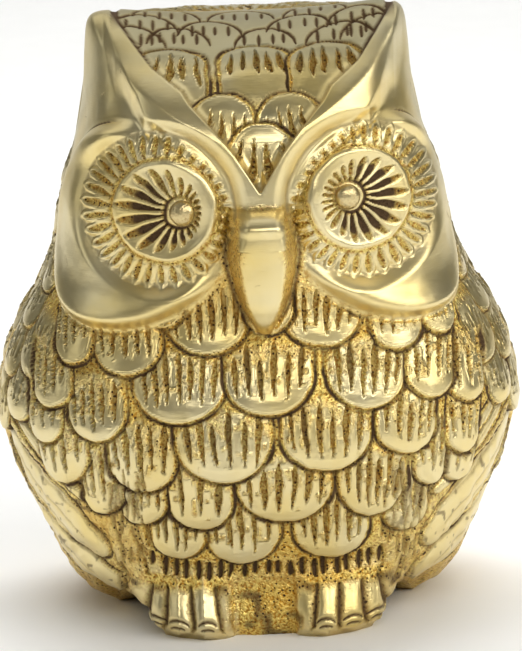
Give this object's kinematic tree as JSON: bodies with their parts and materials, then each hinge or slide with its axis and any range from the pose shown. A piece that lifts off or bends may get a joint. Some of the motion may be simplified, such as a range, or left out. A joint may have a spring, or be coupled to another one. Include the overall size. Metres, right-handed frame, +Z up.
{
  "type": "owl figurine",
  "caption": "Seated owl figurine in hollow cast brass, with a V brow, rosette eyes, chased feather scallops, folded wings and toed feet; open underneath, stands on its rim.",
  "frame": {"origin": "middle of the figurine's footprint, on the surface it stands on", "axes": "+Z up through the head, the owl faces -Y, +X to the right as the owl is seen from the front"},
  "size_m": [0.094, 0.0868, 0.1071],
  "materials": {
    "cast_brass": "sand cast, polished on the high places, rough and darkened in the recesses",
    "hard_solder": "filed flush",
    "turned_brass": "turned and polished"
  },
  "bodies": {
    "root": {"front_casting": "cast_brass", "back_casting": "cast_brass", "seam_solder": "hard_solder", "left_pupil": "turned_brass", "right_pupil": "turned_brass"}
  },
  "joints": []
}
